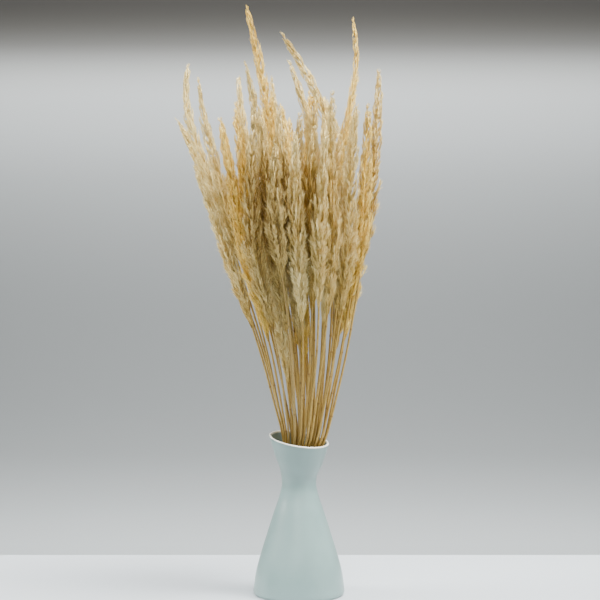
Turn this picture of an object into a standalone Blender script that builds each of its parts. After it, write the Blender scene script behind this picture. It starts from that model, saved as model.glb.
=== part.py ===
"""Dried wood small-reed: a loose bunch of reeds standing in a slant-mouthed glazed vase.

Metres, +Z up, origin at the middle of the vase's underside, -Y towards the viewer.
Every reed is one body: a culm from the vase's floor, and a panicle whose branches rise in whorls.
"""

import math
import random
from dataclasses import dataclass, field

import bmesh
import bpy
import numpy as np

OBJECT_NAME = "wood_small_reed"
SEED = 3

# The vase: outer radius at heights above its underside, before the mouth is tilted.
VASE_WALL = (
    (0.005, 0.0552), (0.028, 0.0520), (0.052, 0.0454), (0.077, 0.0376), (0.101, 0.0299),
    (0.119, 0.0238), (0.1345, 0.0208), (0.150, 0.0234), (0.162, 0.0284), (0.174, 0.0323),
    (0.187, 0.0363),
)
WALL = 0.0032
LIP = 0.0026
FLOOR = 0.006
BASE_ROUND = 0.003
VASE_SIDES = 32
OUTER_ROWS, INNER_ROWS, ROUND_STEPS = 12, 7, 3
MOUTH_SLOPE = (-0.144, 0.161)  # rise of the mouth's plane along x and y
TILT_FROM, TILT_OVER = 0.136, 0.022
WAIST = 0.1345
MOUTH = VASE_WALL[-1][0]

# The bunch: where the reeds go as they rise.
REED_COUNT = 50
TOUCH = 0.0003  # clearance where a reed meets the vase or another reed
WALL_CLEAR = 0.0012  # more beside the vase's wall, whose flat facets reach inside its curve
WAIST_SPREAD, FAN_SLOPE, FAN_BEND = 0.0145, 0.222, 0.010
CROWN = 0.540  # the height at which a reed's place in the plan is read
TWIST, TWIST_OVER = math.radians(38), 0.080
LEAN_RIGHT, LEAN_RIGHT_FROM, LEAN_RIGHT_OVER = 0.0085, 0.140, 0.060  # right at the mouth,
LEAN_LEFT, LEAN_LEFT_FROM, LEAN_LEFT_OVER = 0.0160, 0.260, 0.260  # and left above it
BOW_LATE = 1.3  # above 1, a bow is widest past its middle
OVERSHOOT = 1.3  # an axis is drawn on past its tip, to this share of the bend
LEVEL = 0.010  # spacing of the heights at which the reeds are held apart
ROUNDS, SOFTEN, PUSH = 90, 3, 0.42

# The reeds of the mass: ranges their sizes are drawn from.
MASS_TIP = (0.560, 0.626, 0.604)  # lowest, highest and likeliest height
FRONT_DROP = 0.070  # the front ones are up to this much lower
SHORT_SHARE, SHORT_DROP = 0.22, (0.03, 0.09)
MASS_STRAY = 0.014
PLAN_JITTER = 0.05
MASS_LENGTH, MASS_PLUMP = (0.210, 0.270), (0.0118, 0.0150)
LOWEST_NECK = 0.255  # no panicle starts below this,
RIGHT_NECK_RISE = 0.060  # or this much higher at the bunch's right edge,
FRONT_NECK_RISE, FRONT_NECK_POWER = 0.150, 6  # and at its very front, where a bare culm shows

# Tones by place in the plan: pale at the front right, duller left of that, golden at the sides and
# the back.
FRONT_FROM, LEFT_FRONT_FROM, RIGHT_FRONT_FROM = -0.25, -0.55, 0.10
SIDE_FROM, BACK_FROM = 0.55, 0.45

# A reed: culm and panicle.
CULM_FOOT, CULM_NECK = 0.0016, 0.0012
CULM_HEIGHTS = (0.130, 0.165, 0.230)  # rings between the foot and the panicle
NECK_CLEAR = 0.02  # none of them closer than this below the panicle
FOOT_LIFT = 0.0002
WHORLS = 11
WHORL_CROWDING = 1.25  # above 1, whorls draw together towards the tip
OPEN_FROM, OPEN_SHARE, OPEN_POWER = 0.20, 0.38, 0.8  # the panicle widens over its first share,
CLOSE_TO, CLOSE_POWER = 0.18, 0.45  # and narrows along all of it
LONG_REACH, SHORT_REACH = (0.90, 1.15), (0.66, 0.90)  # branches by turns, in panicle radii
MOST_REACH = 1.12
LONG_RISE, SHORT_RISE = (0.55, 0.74), (0.16, 0.36)  # a branch's tip above its root, in whorls
MOST_RISE = 0.017
LAST_RISE = 0.4  # the last whorl's, as a share of the others'
FULLNESS = (0.85, 1.15)  # from whorl to whorl
ONE_SIDED = 0.20
SWAY = 0.30  # how far a branch leans sideways
CORE_SHARE = 0.33  # the panicle's solid middle, as a share of its full radius
TIP_RADIUS = 0.00045
CURVE_SIDES = 1  # bevel resolution: six sides
RING_TURN = math.radians(12)  # each whorl is turned on from the one below

MERGE = 1e-5  # points nearer than this are one
SHARP_FROM = math.radians(50)
GLAZE = ((0.60, 0.67, 0.65), 0.35)  # colour and roughness
STRAWS = {
    "pale": ((0.78, 0.66, 0.44), 0.80),
    "gold": ((0.72, 0.53, 0.27), 0.75),
    "tan": ((0.66, 0.54, 0.36), 0.80),
}


@dataclass
class Reed:
    """One reed's place in the bunch and its size."""

    name: str
    plan: tuple  # place in the crown, where the bunch's edge is 1
    tip: float  # height of the tip
    offset: tuple = (0.0, 0.0)  # how far the tip stands from the straight line of the fan
    bend_from: float = 0.30  # height at which it leaves that line
    bend: float = 2.0
    bow: float = 0.0  # how far it bows to the right between leaving the line and its tip
    length: float = 0.23  # of the panicle
    plump: float = 0.0080  # the panicle's widest radius
    tone: str = ""
    axis: np.ndarray = field(default=None, repr=False)

    @property
    def neck(self):
        """Height of the panicle's lowest whorl."""
        return self.tip - self.length


# The reeds that stand clear of the mass, as seen from the front: place in the plan, where the tip is
# along x and z, how far it stands forward or back, the height it leaves the fan's line from and how
# late, how far it bows to the right on the way, its panicle's length and radius, and its tone.
LEADERS = (
    ((-0.20, -0.05), -0.0640, 0.714, -0.004, 0.530, 1.20, 0.000, 0.260, 0.0112, "gold"),  # tallest
    ((0.48, -0.25), -0.0210, 0.673, -0.012, 0.545, 1.25, 0.000, 0.250, 0.0120, "pale"),  # arches left
    ((0.57, 0.20), 0.0665, 0.709, 0.004, 0.540, 2.00, 0.008, 0.270, 0.0072, "gold"),  # slender, tall
    ((1.00, 0.02), 0.0960, 0.638, -0.006, 0.460, 1.60, 0.000, 0.250, 0.0125, "pale"),  # right edge
    ((-1.02, 0.06), -0.1360, 0.647, 0.010, 0.480, 1.60, -0.013, 0.245, 0.0100, "pale"),  # left edge
    ((-1.10, 0.20), -0.1500, 0.580, 0.004, 0.440, 2.60, 0.000, 0.200, 0.0100, "pale"),  # outside it
    ((-0.94, -0.20), -0.1200, 0.621, -0.010, 0.520, 2.00, -0.002, 0.245, 0.0105, "pale"),
    ((-0.52, 0.22), -0.0750, 0.636, 0.008, 0.500, 2.00, -0.003, 0.240, 0.0108, "pale"),
    ((-0.34, -0.30), -0.0630, 0.638, -0.006, 0.500, 2.00, 0.000, 0.235, 0.0100, "tan"),
    ((0.20, -0.10), -0.0150, 0.645, -0.008, 0.530, 1.30, 0.000, 0.240, 0.0100, "pale"),
    ((-0.04, 0.42), -0.0220, 0.604, 0.010, 0.480, 2.00, 0.000, 0.225, 0.0100, "gold"),
    ((-0.15, 0.14), -0.0340, 0.632, 0.006, 0.480, 2.00, -0.002, 0.235, 0.0095, "tan"),
    ((-0.78, 0.30), -0.0980, 0.584, 0.008, 0.460, 2.00, 0.000, 0.225, 0.0125, "gold"),
    ((-1.08, -0.16), -0.1240, 0.516, -0.006, 0.400, 2.00, 0.000, 0.200, 0.0110, "pale"),  # leans left
    ((0.42, 0.34), 0.0320, 0.610, 0.008, 0.460, 2.00, 0.000, 0.225, 0.0110, "gold"),
    ((0.84, -0.34), 0.0790, 0.588, -0.008, 0.460, 2.00, 0.000, 0.235, 0.0130, "gold"),
)


def smooth_step(x):
    """0 below 0, 1 above 1, and smooth between."""
    x = np.clip(x, 0.0, 1.0)
    return x * x * (3.0 - 2.0 * x)


def smooth_through(stations, at):
    """A smooth curve through (place, value) stations, read at one place or several."""
    places, values = (np.array(column) for column in zip(*stations))
    slopes = np.gradient(values, places)
    low = np.clip(np.searchsorted(places, at, side="right") - 1, 0, len(places) - 2)
    span = places[low + 1] - places[low]
    t = (at - places[low]) / span
    return (
        values[low] * (1 + 2 * t) * (1 - t) ** 2
        + slopes[low] * span * t * (1 - t) ** 2
        + values[low + 1] * t * t * (3 - 2 * t)
        - slopes[low + 1] * span * t * t * (1 - t)
    )


def mouth_tilt(x, y, z):
    """How much the slanting mouth raises a point of the upright vase."""
    return smooth_step((z - TILT_FROM) / TILT_OVER) * (MOUTH_SLOPE[0] * x + MOUTH_SLOPE[1] * y)


def fan_spread(z):
    """Radius of the bunch at a height: a neck's width up to the waist, then opening at one slope."""
    return WAIST_SPREAD + FAN_SLOPE * FAN_BEND * np.log1p(np.exp((z - WAIST) / FAN_BEND))


def fan_place(plan, z):
    """Where the fan alone carries a plan place at a height, as an array of x and y."""
    crown_turn = math.atan((CROWN - WAIST) / TWIST_OVER)
    turn = TWIST * 2 / math.pi * (np.arctan((z - WAIST) / TWIST_OVER) - crown_turn)
    right = LEAN_RIGHT * smooth_step((z - LEAN_RIGHT_FROM) / LEAN_RIGHT_OVER)
    left = LEAN_LEFT * smooth_step((z - LEAN_LEFT_FROM) / LEAN_LEFT_OVER)
    x = right - left + fan_spread(z) * (plan[0] * np.cos(turn) - plan[1] * np.sin(turn))
    y = fan_spread(z) * (plan[0] * np.sin(turn) + plan[1] * np.cos(turn))
    return np.stack([x, y], axis=-1)


def plan_places(count):
    """Evenly spread places in a unit disc, as in a sunflower's head."""
    golden = math.pi * (3.0 - math.sqrt(5.0))
    radii = [math.sqrt((i + 0.5) / count) for i in range(count)]
    return [(r * math.cos(i * golden), r * math.sin(i * golden)) for i, r in enumerate(radii)]


def tones_near(place):
    """The straw tones found at a place in the plan."""
    if place[1] < FRONT_FROM and place[0] > RIGHT_FRONT_FROM:
        return ("pale", "pale", "pale")
    if place[1] < FRONT_FROM and place[0] > LEFT_FRONT_FROM:
        return ("pale", "tan", "tan")
    if abs(place[0]) > SIDE_FROM or place[1] > BACK_FROM:
        return ("gold", "gold", "pale")
    return ("pale", "pale", "gold")


def plan_reeds():
    """All reeds, the leaders first, each on the free place nearest to its own."""
    draw = random.Random(SEED)
    free = plan_places(REED_COUNT)
    reeds = []
    for place, tip_x, tip, forward, bend_from, bend, bow, length, plump, tone in LEADERS:
        free.remove(min(free, key=lambda p: math.dist(p, place)))
        offset = (tip_x - float(fan_place(place, tip)[0]), forward)
        reeds.append(Reed("", place, tip, offset, bend_from, bend, bow, length, plump, tone))
    for place in sorted(free):
        tip = draw.triangular(*MASS_TIP) - FRONT_DROP * max(-place[1], 0.0) * draw.random()
        if draw.random() < SHORT_SHARE:
            tip -= draw.uniform(*SHORT_DROP)
        lowest = LOWEST_NECK + RIGHT_NECK_RISE * max(place[0], 0.0)
        lowest += FRONT_NECK_RISE * max(-place[1], 0.0) ** FRONT_NECK_POWER
        stray, around = draw.uniform(0.0, MASS_STRAY), draw.uniform(0.0, 2 * math.pi)
        reeds.append(
            Reed(
                "",
                tuple(along + draw.uniform(-PLAN_JITTER, PLAN_JITTER) for along in place),
                tip,
                (stray * math.cos(around), stray * math.sin(around)),
                length=min(draw.uniform(*MASS_LENGTH), tip - lowest),
                plump=draw.uniform(*MASS_PLUMP),
                tone=draw.choice(tones_near(place)),
            )
        )
    for number, reed in enumerate(reeds, 1):
        reed.name = f"reed_{number:02d}"
    return reeds


def panicle_radius(reed, share):
    """The panicle's outer radius at a share of its length, 0 at the lowest whorl and 1 at the tip."""
    opening = OPEN_FROM + (1.0 - OPEN_FROM) * np.clip(share / OPEN_SHARE, 0.0, 1.0) ** OPEN_POWER
    closing = CLOSE_TO + (1.0 - CLOSE_TO) * (1.0 - np.clip(share, 0.0, 1.0)) ** CLOSE_POWER
    return reed.plump * opening * closing


def reed_radius(reed, z):
    """The room a reed takes at a height: its culm's radius, or its panicle's."""
    culm = CULM_FOOT + (CULM_NECK - CULM_FOOT) * np.clip(z / reed.neck, 0.0, 1.0)
    panicle = MOST_REACH * panicle_radius(reed, (z - reed.neck) / reed.length)
    return np.where(z > reed.neck, np.maximum(panicle, culm), culm)


def settle(reeds):
    """Gives each reed its axis, held clear of its neighbours and of the vase's wall at every level."""
    foot = FLOOR + TOUCH
    levels = np.arange(foot, max(reed.tip for reed in reeds) + LEVEL, LEVEL)
    place = np.zeros((len(reeds), len(levels), 2))
    room = np.zeros((len(reeds), len(levels)))
    there = np.zeros((len(reeds), len(levels)), bool)
    for i, reed in enumerate(reeds):
        share = np.clip((levels - reed.bend_from) / (reed.tip - reed.bend_from), 0.0, OVERSHOOT)
        place[i] = fan_place(reed.plan, levels) + np.outer(share**reed.bend, reed.offset)
        place[i, :, 0] += reed.bow * np.sin(math.pi * np.minimum(share, 1.0) ** BOW_LATE)
        slope = np.hypot(*np.gradient(place[i], LEVEL, axis=0).T)
        room[i] = reed_radius(reed, levels) * np.sqrt(1 + slope**2)
        there[i] = levels < reed.tip + LEVEL
    start = place.copy()
    need = room[:, None] + room[None] + 2 * TOUCH
    pair = there[:, None] & there[None] & ~np.eye(len(reeds), dtype=bool)[..., None]
    inside = levels < MOUTH
    for _ in range(ROUNDS):
        apart = place[:, None] - place[None]
        gap = np.maximum(np.linalg.norm(apart, axis=-1), 1e-6)
        push = np.where(pair, np.clip(need - gap, 0.0, None), 0.0)
        shift = (PUSH * push / gap)[..., None] * apart
        moved = place - start + shift.sum(axis=1)
        for _ in range(SOFTEN):
            moved[:, 1:-1] = (moved[:, :-2] + 2 * moved[:, 1:-1] + moved[:, 2:]) / 4
        place = start + moved
        rise = mouth_tilt(place[:, inside, 0], place[:, inside, 1], levels[inside])
        wall = smooth_through(VASE_WALL, np.maximum(levels[inside] - rise, VASE_WALL[0][0])) - WALL
        most = wall - room[:, inside] - WALL_CLEAR
        out = np.linalg.norm(place[:, inside], axis=-1)
        place[:, inside] *= np.minimum(1.0, most / np.maximum(out, 1e-6))[..., None]
    for i, reed in enumerate(reeds):
        reed.axis = np.column_stack([place[i], levels])


def axis_point(reed, z):
    """The point of a reed's axis at a height."""
    x, y = (np.interp(z, reed.axis[:, 2], reed.axis[:, k]) for k in (0, 1))
    return np.array([x, y, z])


def whorl_shares():
    """Where the whorls start, as shares of a panicle's length, ending at its tip."""
    return [1.0 - (1.0 - i / WHORLS) ** WHORL_CROWDING for i in range(WHORLS + 1)]


def new_material(name, colour, roughness):
    """A plain non-metallic finish."""
    material = bpy.data.materials.new(name)
    material.use_nodes = True
    shader = material.node_tree.nodes["Principled BSDF"]
    shader.inputs["Base Color"].default_value = (*colour, 1.0)
    shader.inputs["Roughness"].default_value = roughness
    shader.inputs["Metallic"].default_value = 0.0
    return material


def link(name, mesh, material, collection):
    """A mesh object at the origin, with its finish."""
    thing = bpy.data.objects.new(name, mesh)
    mesh.materials.clear()
    mesh.materials.append(material)
    collection.objects.link(thing)
    return thing


def evaluated_mesh(thing):
    """The mesh of an object with its modifiers or its bevel, and the object removed."""
    depsgraph = bpy.context.evaluated_depsgraph_get()
    mesh = bpy.data.meshes.new_from_object(thing.evaluated_get(depsgraph))
    bpy.data.objects.remove(thing)
    return mesh


def vase_profile():
    """Half of the vase's section: up the inside, over the lip and down the outside."""
    inner_top, base_top = MOUTH - LIP / 2, VASE_WALL[0][0]
    inner = np.linspace(FLOOR + BASE_ROUND, inner_top, INNER_ROWS)
    outer = np.linspace(MOUTH, base_top, OUTER_ROWS)
    wall = np.linspace(WALL, LIP, INNER_ROWS)
    points = [(0.0, FLOOR), (smooth_through(VASE_WALL, base_top) - WALL - BASE_ROUND, FLOOR)]
    points += [(smooth_through(VASE_WALL, z) - thick, z) for z, thick in zip(inner, wall)]
    for i in range(1, ROUND_STEPS):
        angle = math.pi * i / ROUND_STEPS
        across, up = LIP / 2 * (1 + math.cos(angle)), LIP / 2 * math.sin(angle)
        points.append((VASE_WALL[-1][1] - across, MOUTH + up))
    points += [(smooth_through(VASE_WALL, z), z) for z in outer]
    for i in range(1, ROUND_STEPS + 1):
        angle = math.pi / 2 * i / ROUND_STEPS
        edge = smooth_through(VASE_WALL, base_top) - BASE_ROUND
        points.append((edge + BASE_ROUND * math.cos(angle), base_top * (1 - math.sin(angle))))
    points.append((0.0, 0.0))
    return points


def make_vase(collection):
    """The turned vase, with its mouth tilted forward and to the right."""
    section = bpy.data.meshes.new("vase_section")
    points = vase_profile()
    section.from_pydata([(r, 0.0, z) for r, z in points], [(i, i + 1) for i in range(len(points) - 1)], [])
    turned = bpy.data.objects.new("vase_section", section)
    collection.objects.link(turned)
    screw = turned.modifiers.new("turn", "SCREW")
    screw.steps = screw.render_steps = VASE_SIDES
    screw.use_merge_vertices = True
    screw.merge_threshold = MERGE
    mesh = evaluated_mesh(turned)
    for vertex in mesh.vertices:
        vertex.co.z += float(mouth_tilt(vertex.co.x, vertex.co.y, vertex.co.z))
    mesh.shade_smooth()
    mesh.set_sharp_from_angle(angle=SHARP_FROM)
    return link("vase", mesh, new_material("vase_glaze", *GLAZE), collection)


def reed_rings(reed):
    """A reed's rings from foot to tip, as (height, radius) pairs, and the panicle's first one."""
    foot = FLOOR + TOUCH + FOOT_LIFT
    rings = [(z, float(reed_radius(reed, z))) for z in (foot, *CULM_HEIGHTS) if z < reed.neck - NECK_CLEAR]
    first = len(rings)
    for share in whorl_shares():
        radius = max(CORE_SHARE * float(panicle_radius(reed, share)), TIP_RADIUS)
        rings.append((reed.neck + share * reed.length, radius if share < 1.0 else TIP_RADIUS))
    rings[first] = (reed.neck, CULM_NECK)
    return rings, first


def azimuth(face, centre):
    """The direction of a facet's middle from a point, seen from above."""
    middle = face.calc_center_median()
    return math.atan2(middle.x - centre[0], middle.y - centre[1])


def raise_branches(mesh, reed, rings, first):
    """Raises a pointed branch from each facet of the panicle, outward and up."""
    draw = random.Random(f"{SEED} {reed.name}")
    work = bmesh.new()
    work.from_mesh(mesh)
    bmesh.ops.remove_doubles(work, verts=work.verts, dist=MERGE)
    heights = np.array([z for z, _ in rings])
    whorls = {}
    for face in work.faces:
        band = int(np.searchsorted(heights, face.calc_center_median().z)) - 1
        if band >= first and len(face.verts) == 4:
            whorls.setdefault(band, []).append(face)
    for band in sorted(whorls):
        low, high = heights[band], heights[band + 1]
        side, fullness = draw.uniform(0.0, 2 * math.pi), draw.uniform(*FULLNESS)
        most_rise = MOST_RISE * (LAST_RISE if band == len(rings) - 2 else 1.0)
        full = float(panicle_radius(reed, ((low + high) / 2 - reed.neck) / reed.length))
        centre = axis_point(reed, (low + high) / 2)
        for turn, face in enumerate(sorted(whorls[band], key=lambda face: azimuth(face, centre))):
            middle = face.calc_center_median()
            root = axis_point(reed, middle.z)
            ahead = axis_point(reed, middle.z + LEVEL / 2) - axis_point(reed, middle.z - LEVEL / 2)
            ahead /= np.linalg.norm(ahead)
            outward = np.array(middle) - root
            outward -= ahead * outward.dot(ahead)
            outward /= np.linalg.norm(outward)
            long = (turn + band) % 2 == 0
            one_side = 1.0 + ONE_SIDED * math.cos(math.atan2(outward[1], outward[0]) - side)
            reach = full * fullness * one_side * draw.uniform(*(LONG_REACH if long else SHORT_REACH))
            outward += np.cross(ahead, outward) * draw.uniform(-SWAY, SWAY)
            outward /= np.linalg.norm(outward)
            rise = min((high - low) * draw.uniform(*(LONG_RISE if long else SHORT_RISE)), most_rise)
            crown = bmesh.ops.poke(work, faces=[face])["verts"][0]
            crown.co = root + outward * min(reach, MOST_REACH * full) + ahead * rise
    work.to_mesh(mesh)
    work.free()


def make_reed(reed, finish, collection):
    """One reed: a tube along its axis, with the panicle's branches raised from it."""
    rings, first = reed_rings(reed)
    line = bpy.data.curves.new(reed.name, "CURVE")
    line.dimensions = "3D"
    line.bevel_depth = 1.0
    line.bevel_resolution = CURVE_SIDES
    line.use_fill_caps = True
    spline = line.splines.new("POLY")
    spline.points.add(len(rings) - 1)
    turn = random.Random(f"{SEED} turn {reed.name}").uniform(0.0, math.pi)
    for i, (point, (z, radius)) in enumerate(zip(spline.points, rings)):
        point.co = (*axis_point(reed, z), 1.0)
        point.radius = radius
        point.tilt = turn + RING_TURN * max(i - first, 0)
    tube = bpy.data.objects.new(reed.name + "_line", line)
    collection.objects.link(tube)
    bpy.context.view_layer.update()
    mesh = evaluated_mesh(tube)
    raise_branches(mesh, reed, rings, first)
    return link(reed.name, mesh, finish, collection)


def main():
    """Clears the scene, then builds the vase and its reeds."""
    for thing in list(bpy.data.objects):
        bpy.data.objects.remove(thing)
    collection = bpy.data.collections.new(OBJECT_NAME)
    bpy.context.scene.collection.children.link(collection)
    make_vase(collection)
    finishes = {tone: new_material(f"straw_{tone}", *finish) for tone, finish in STRAWS.items()}
    reeds = plan_reeds()
    settle(reeds)
    for reed in reeds:
        make_reed(reed, finishes[reed.tone], collection)


main()
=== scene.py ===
"""Looks of a bunch of dried wood small-reed standing in a slant-mouthed glazed vase.

Metres, +Z up, -Y towards the viewer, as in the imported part. The vase is turned again with a fine wall. In the
place and to the outline of its solid, each reed gets a smooth culm and a plume of spikelets on branches.
"""

from __future__ import annotations

import logging
import math
import random
from dataclasses import dataclass, field
from enum import Enum

import bpy
import numpy as np
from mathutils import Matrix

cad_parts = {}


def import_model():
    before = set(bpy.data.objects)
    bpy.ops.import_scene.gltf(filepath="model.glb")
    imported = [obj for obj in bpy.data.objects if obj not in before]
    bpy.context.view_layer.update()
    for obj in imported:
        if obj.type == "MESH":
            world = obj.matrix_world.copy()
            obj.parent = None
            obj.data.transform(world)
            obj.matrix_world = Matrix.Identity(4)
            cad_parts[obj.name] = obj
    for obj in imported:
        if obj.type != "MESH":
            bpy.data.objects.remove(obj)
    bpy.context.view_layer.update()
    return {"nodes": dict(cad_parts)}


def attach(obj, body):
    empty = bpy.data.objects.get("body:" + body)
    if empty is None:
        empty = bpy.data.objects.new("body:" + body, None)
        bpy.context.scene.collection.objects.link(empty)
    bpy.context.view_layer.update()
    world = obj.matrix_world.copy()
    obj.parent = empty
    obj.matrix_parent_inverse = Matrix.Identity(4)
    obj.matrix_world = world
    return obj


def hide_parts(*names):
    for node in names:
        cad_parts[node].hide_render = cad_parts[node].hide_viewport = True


log = logging.getLogger("small_reed")

Colour = tuple[float, float, float]
Point = tuple[float, float, float]

MAP_SIDE = 0.02  # left free along the sides of a tube's map
PALETTE_COLUMNS = 32  # tones a plume is drawn in, each with an upright strip of the plume's map
STALK_SPOTS = np.array([(0.2, 0.02), (0.8, 0.02), (0.5, 0.12)])  # a stalk's corners in a strip
BLADE_SPOTS = np.array([(0.5, 0.02), (0.2, 0.42), (0.8, 0.42), (0.5, 0.98)])  # a spikelet's corners in one
BLADE_FACES = np.array([(0, 1, 3), (0, 3, 2)])

SLOPE_REACH = 0.005  # a reed's direction is taken over this far up and down its axis
# A plume's outline opens over the first part of its length and closes along all of it.
OPEN_LOW, OPEN_MORE, OPEN_OVER, OPEN_POWER = 0.20, 0.80, 0.38, 0.8
CLOSE_LOW, CLOSE_MORE, CLOSE_POWER = 0.18, 0.82, 0.45


class Straw(Enum):
    """The dried grass's tones, by the record's material slots."""

    PALE = "straw_pale"
    GOLD = "straw_gold"
    TAN = "straw_tan"


def smooth_step(x: np.ndarray | float, start: float, over: float) -> np.ndarray:
    """Eases from 0 to 1.

    Args:
        x: Where to read it.
        start: Where it begins to rise.
        over: How much farther on it reaches 1.

    Returns:
        The eased value.
    """
    t = np.clip((x - start) / over, 0.0, 1.0)
    return t * t * (3.0 - 2.0 * t)


def smooth_through(stations: tuple[tuple[float, float], ...], at: np.ndarray | float) -> np.ndarray:
    """Reads a smooth curve through (place, value) stations.

    Args:
        stations: The stations, by rising place.
        at: Where to read it.

    Returns:
        The curve's values there.
    """
    places, values = (np.array(column) for column in zip(*stations))
    slopes = np.gradient(values, places)
    low = np.clip(np.searchsorted(places, at, side="right") - 1, 0, len(places) - 2)
    span = places[low + 1] - places[low]
    t = (at - places[low]) / span
    return (
        values[low] * (1 + 2 * t) * (1 - t) ** 2
        + slopes[low] * span * t * (1 - t) ** 2
        + values[low + 1] * t * t * (3 - 2 * t)
        - slopes[low + 1] * span * t * t * (1 - t)
    )


def unit(vectors: np.ndarray) -> np.ndarray:
    """Scales vectors, which lie along the last axis, to length 1."""
    return vectors / np.maximum(np.linalg.norm(vectors, axis=-1, keepdims=True), 1e-12)


def across(directions: np.ndarray) -> tuple[np.ndarray, np.ndarray]:
    """Finds two directions square to each given one, so that the three are right-handed.

    Args:
        directions: Unit vectors, one a row.

    Returns:
        The two sets of unit vectors.
    """
    side = np.where(np.abs(directions[:, 2:3]) < 0.9, [[0.0, 0.0, 1.0]], [[1.0, 0.0, 0.0]])
    first = unit(np.cross(side, directions))
    return first, np.cross(directions, first)


def ring_directions(ahead: np.ndarray, sides: int) -> np.ndarray:
    """Finds the directions in which a tube's ring of points lies around its axis.

    Args:
        ahead: The axis's directions, one a row.
        sides: Points in a ring.

    Returns:
        Unit vectors (row, point, xyz).
    """
    first, second = across(ahead)
    angles = np.arange(sides) * 2 * math.pi / sides
    return first[:, None] * np.cos(angles)[:, None] + second[:, None] * np.sin(angles)[:, None]


def tube_faces(rings: int, sides: int) -> tuple[np.ndarray, np.ndarray]:
    """Numbers the faces of a closed tube, whose two end points come after the points of all rings.

    Args:
        rings: How many rings it has.
        sides: Points in a ring.

    Returns:
        The quads between the rings, and the triangles that close the first ring and then the last.
    """
    here = np.arange(sides)
    there = (here + 1) % sides
    start = np.arange(rings - 1)[:, None] * sides
    quads = np.stack([start + here, start + there, start + sides + there, start + sides + here], axis=-1)
    last = (rings - 1) * sides
    foot = np.stack([np.full(sides, rings * sides), there, here], axis=-1)
    head = np.stack([np.full(sides, rings * sides + 1), here + last, there + last], axis=-1)
    return quads.reshape(-1, 4), np.vstack([foot, head])


@dataclass
class Surface:
    """Triangles and quads gathered for one mesh, with a map and values per vertex."""

    name: str
    points: list[np.ndarray] = field(default_factory=list)
    faces: list[np.ndarray] = field(default_factory=list)
    maps: list[np.ndarray] = field(default_factory=list)
    values: dict[str, list[np.ndarray]] = field(default_factory=dict)
    count: int = 0

    def add(self, points: np.ndarray, faces: np.ndarray, uv: np.ndarray, **values: np.ndarray) -> None:
        """Adds points and the faces on them.

        Args:
            points: One point a row.
            faces: Point numbers, one face a row, counted from this batch's first point.
            uv: A place on the map for each corner of each face.
            **values: Named numbers, one for each point.
        """
        self.points.append(points)
        self.faces.append(faces + self.count)
        self.maps.append(uv.reshape(-1, 2))
        for name, numbers in values.items():
            self.values.setdefault(name, []).append(np.broadcast_to(numbers, len(points)))
        self.count += len(points)

    def add_tube(
        self,
        rings: np.ndarray,
        ends: np.ndarray,
        along: np.ndarray,
        margins: tuple[float, float],
        **values: np.ndarray,
    ) -> None:
        """Adds a tube that is closed at both ends, with the whole map to itself.

        Args:
            rings: The rings' points (ring, point, xyz).
            ends: The two end points, beyond the first and the last ring.
            along: Each ring's share of the tube's length.
            margins: How far the end points, and the end rings, stay from the map's edge.
            **values: Named numbers for the first end point, each ring and the last end point.
        """
        sides, first = rings.shape[1], self.count
        quads, fans = tube_faces(len(rings), sides)
        left, right = (
            np.arange(low, low + sides) / sides * (1 - 2 * MAP_SIDE) + MAP_SIDE for low in (0, 1)
        )
        point, edge = margins
        v = along * (1 - 2 * edge) + edge
        uv = np.empty((len(rings) - 1, sides, 4, 2))
        uv[..., (0, 3), 0], uv[..., (1, 2), 0] = left[:, None], right[:, None]
        uv[..., (0, 1), 1], uv[..., (2, 3), 1] = v[:-1, None, None], v[1:, None, None]
        for name, numbers in values.items():
            values[name] = np.append(np.repeat(numbers[1:-1], sides), numbers[[0, -1]])
        self.add(np.vstack([rings.reshape(-1, 3), ends]), quads, uv, **values)
        self.faces.append(fans + first)
        fan_uv = np.empty((2, sides, 3, 2))
        fan_uv[..., 0, 0] = (left + right) / 2
        fan_uv[0, :, (1, 2), 0] = right, left
        fan_uv[1, :, (1, 2), 0] = left, right
        fan_uv[..., 0, 1] = [[point], [1 - point]]
        fan_uv[..., 1:, 1] = v[[0, -1], None, None]
        self.maps.append(fan_uv.reshape(-1, 2))

    def mesh(self) -> bpy.types.Mesh:
        """Builds the mesh, with its map and its values.

        Returns:
            The mesh, shaded smooth.
        """
        mesh = bpy.data.meshes.new(self.name)
        points = np.concatenate(self.points)
        sizes = np.concatenate([np.full(len(f), f.shape[1]) for f in self.faces])
        corners = np.concatenate([f.ravel() for f in self.faces])
        mesh.vertices.add(len(points))
        mesh.vertices.foreach_set("co", points.astype(np.float32).ravel())
        mesh.loops.add(len(corners))
        mesh.loops.foreach_set("vertex_index", corners.astype(np.int32))
        mesh.polygons.add(len(sizes))
        mesh.polygons.foreach_set("loop_start", (np.cumsum(sizes) - sizes).astype(np.int32))
        mesh.uv_layers.new(name="OFBake")
        mesh.uv_layers["OFBake"].data.foreach_set("uv", np.concatenate(self.maps).astype(np.float32).ravel())
        for name, batches in self.values.items():
            attribute = mesh.attributes.new(name, "FLOAT", "POINT")
            attribute.data.foreach_set("value", np.concatenate(batches).astype(np.float32))
        mesh.update(calc_edges=True)
        mesh.validate()
        mesh.shade_smooth()
        return mesh


@dataclass(frozen=True)
class GlazeFinish:
    """The vase's pale celadon glaze: cloudy, darker in the neck as thicker glaze and painted shade, pale on the
    lip as thin glaze and a painted highlight.
    """

    body: Colour = (0.278, 0.402, 0.381)
    pooled: Colour = (0.238, 0.352, 0.335)
    # darker glaze of the neck and flare: thicker glaze there, and painted shade on the flare, which faces down
    thick: Colour = (0.188, 0.272, 0.255)
    # lip: thin glaze, and a painted highlight along the rounded rim, lighter than the bare clay
    lip: Colour = (0.90, 0.89, 0.78)
    foot: Colour = (0.62, 0.58, 0.51)
    roughness: float = 0.36
    coat: float = 0.25
    coat_roughness: float = 0.22
    cloud_scale: float = 22.0
    cloud_range: tuple[float, float] = (0.35, 0.75)
    skin_scale: float = 160.0
    skin_relief: float = 0.10
    skin_depth: float = 0.001
    detail: float = 2.0


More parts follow.
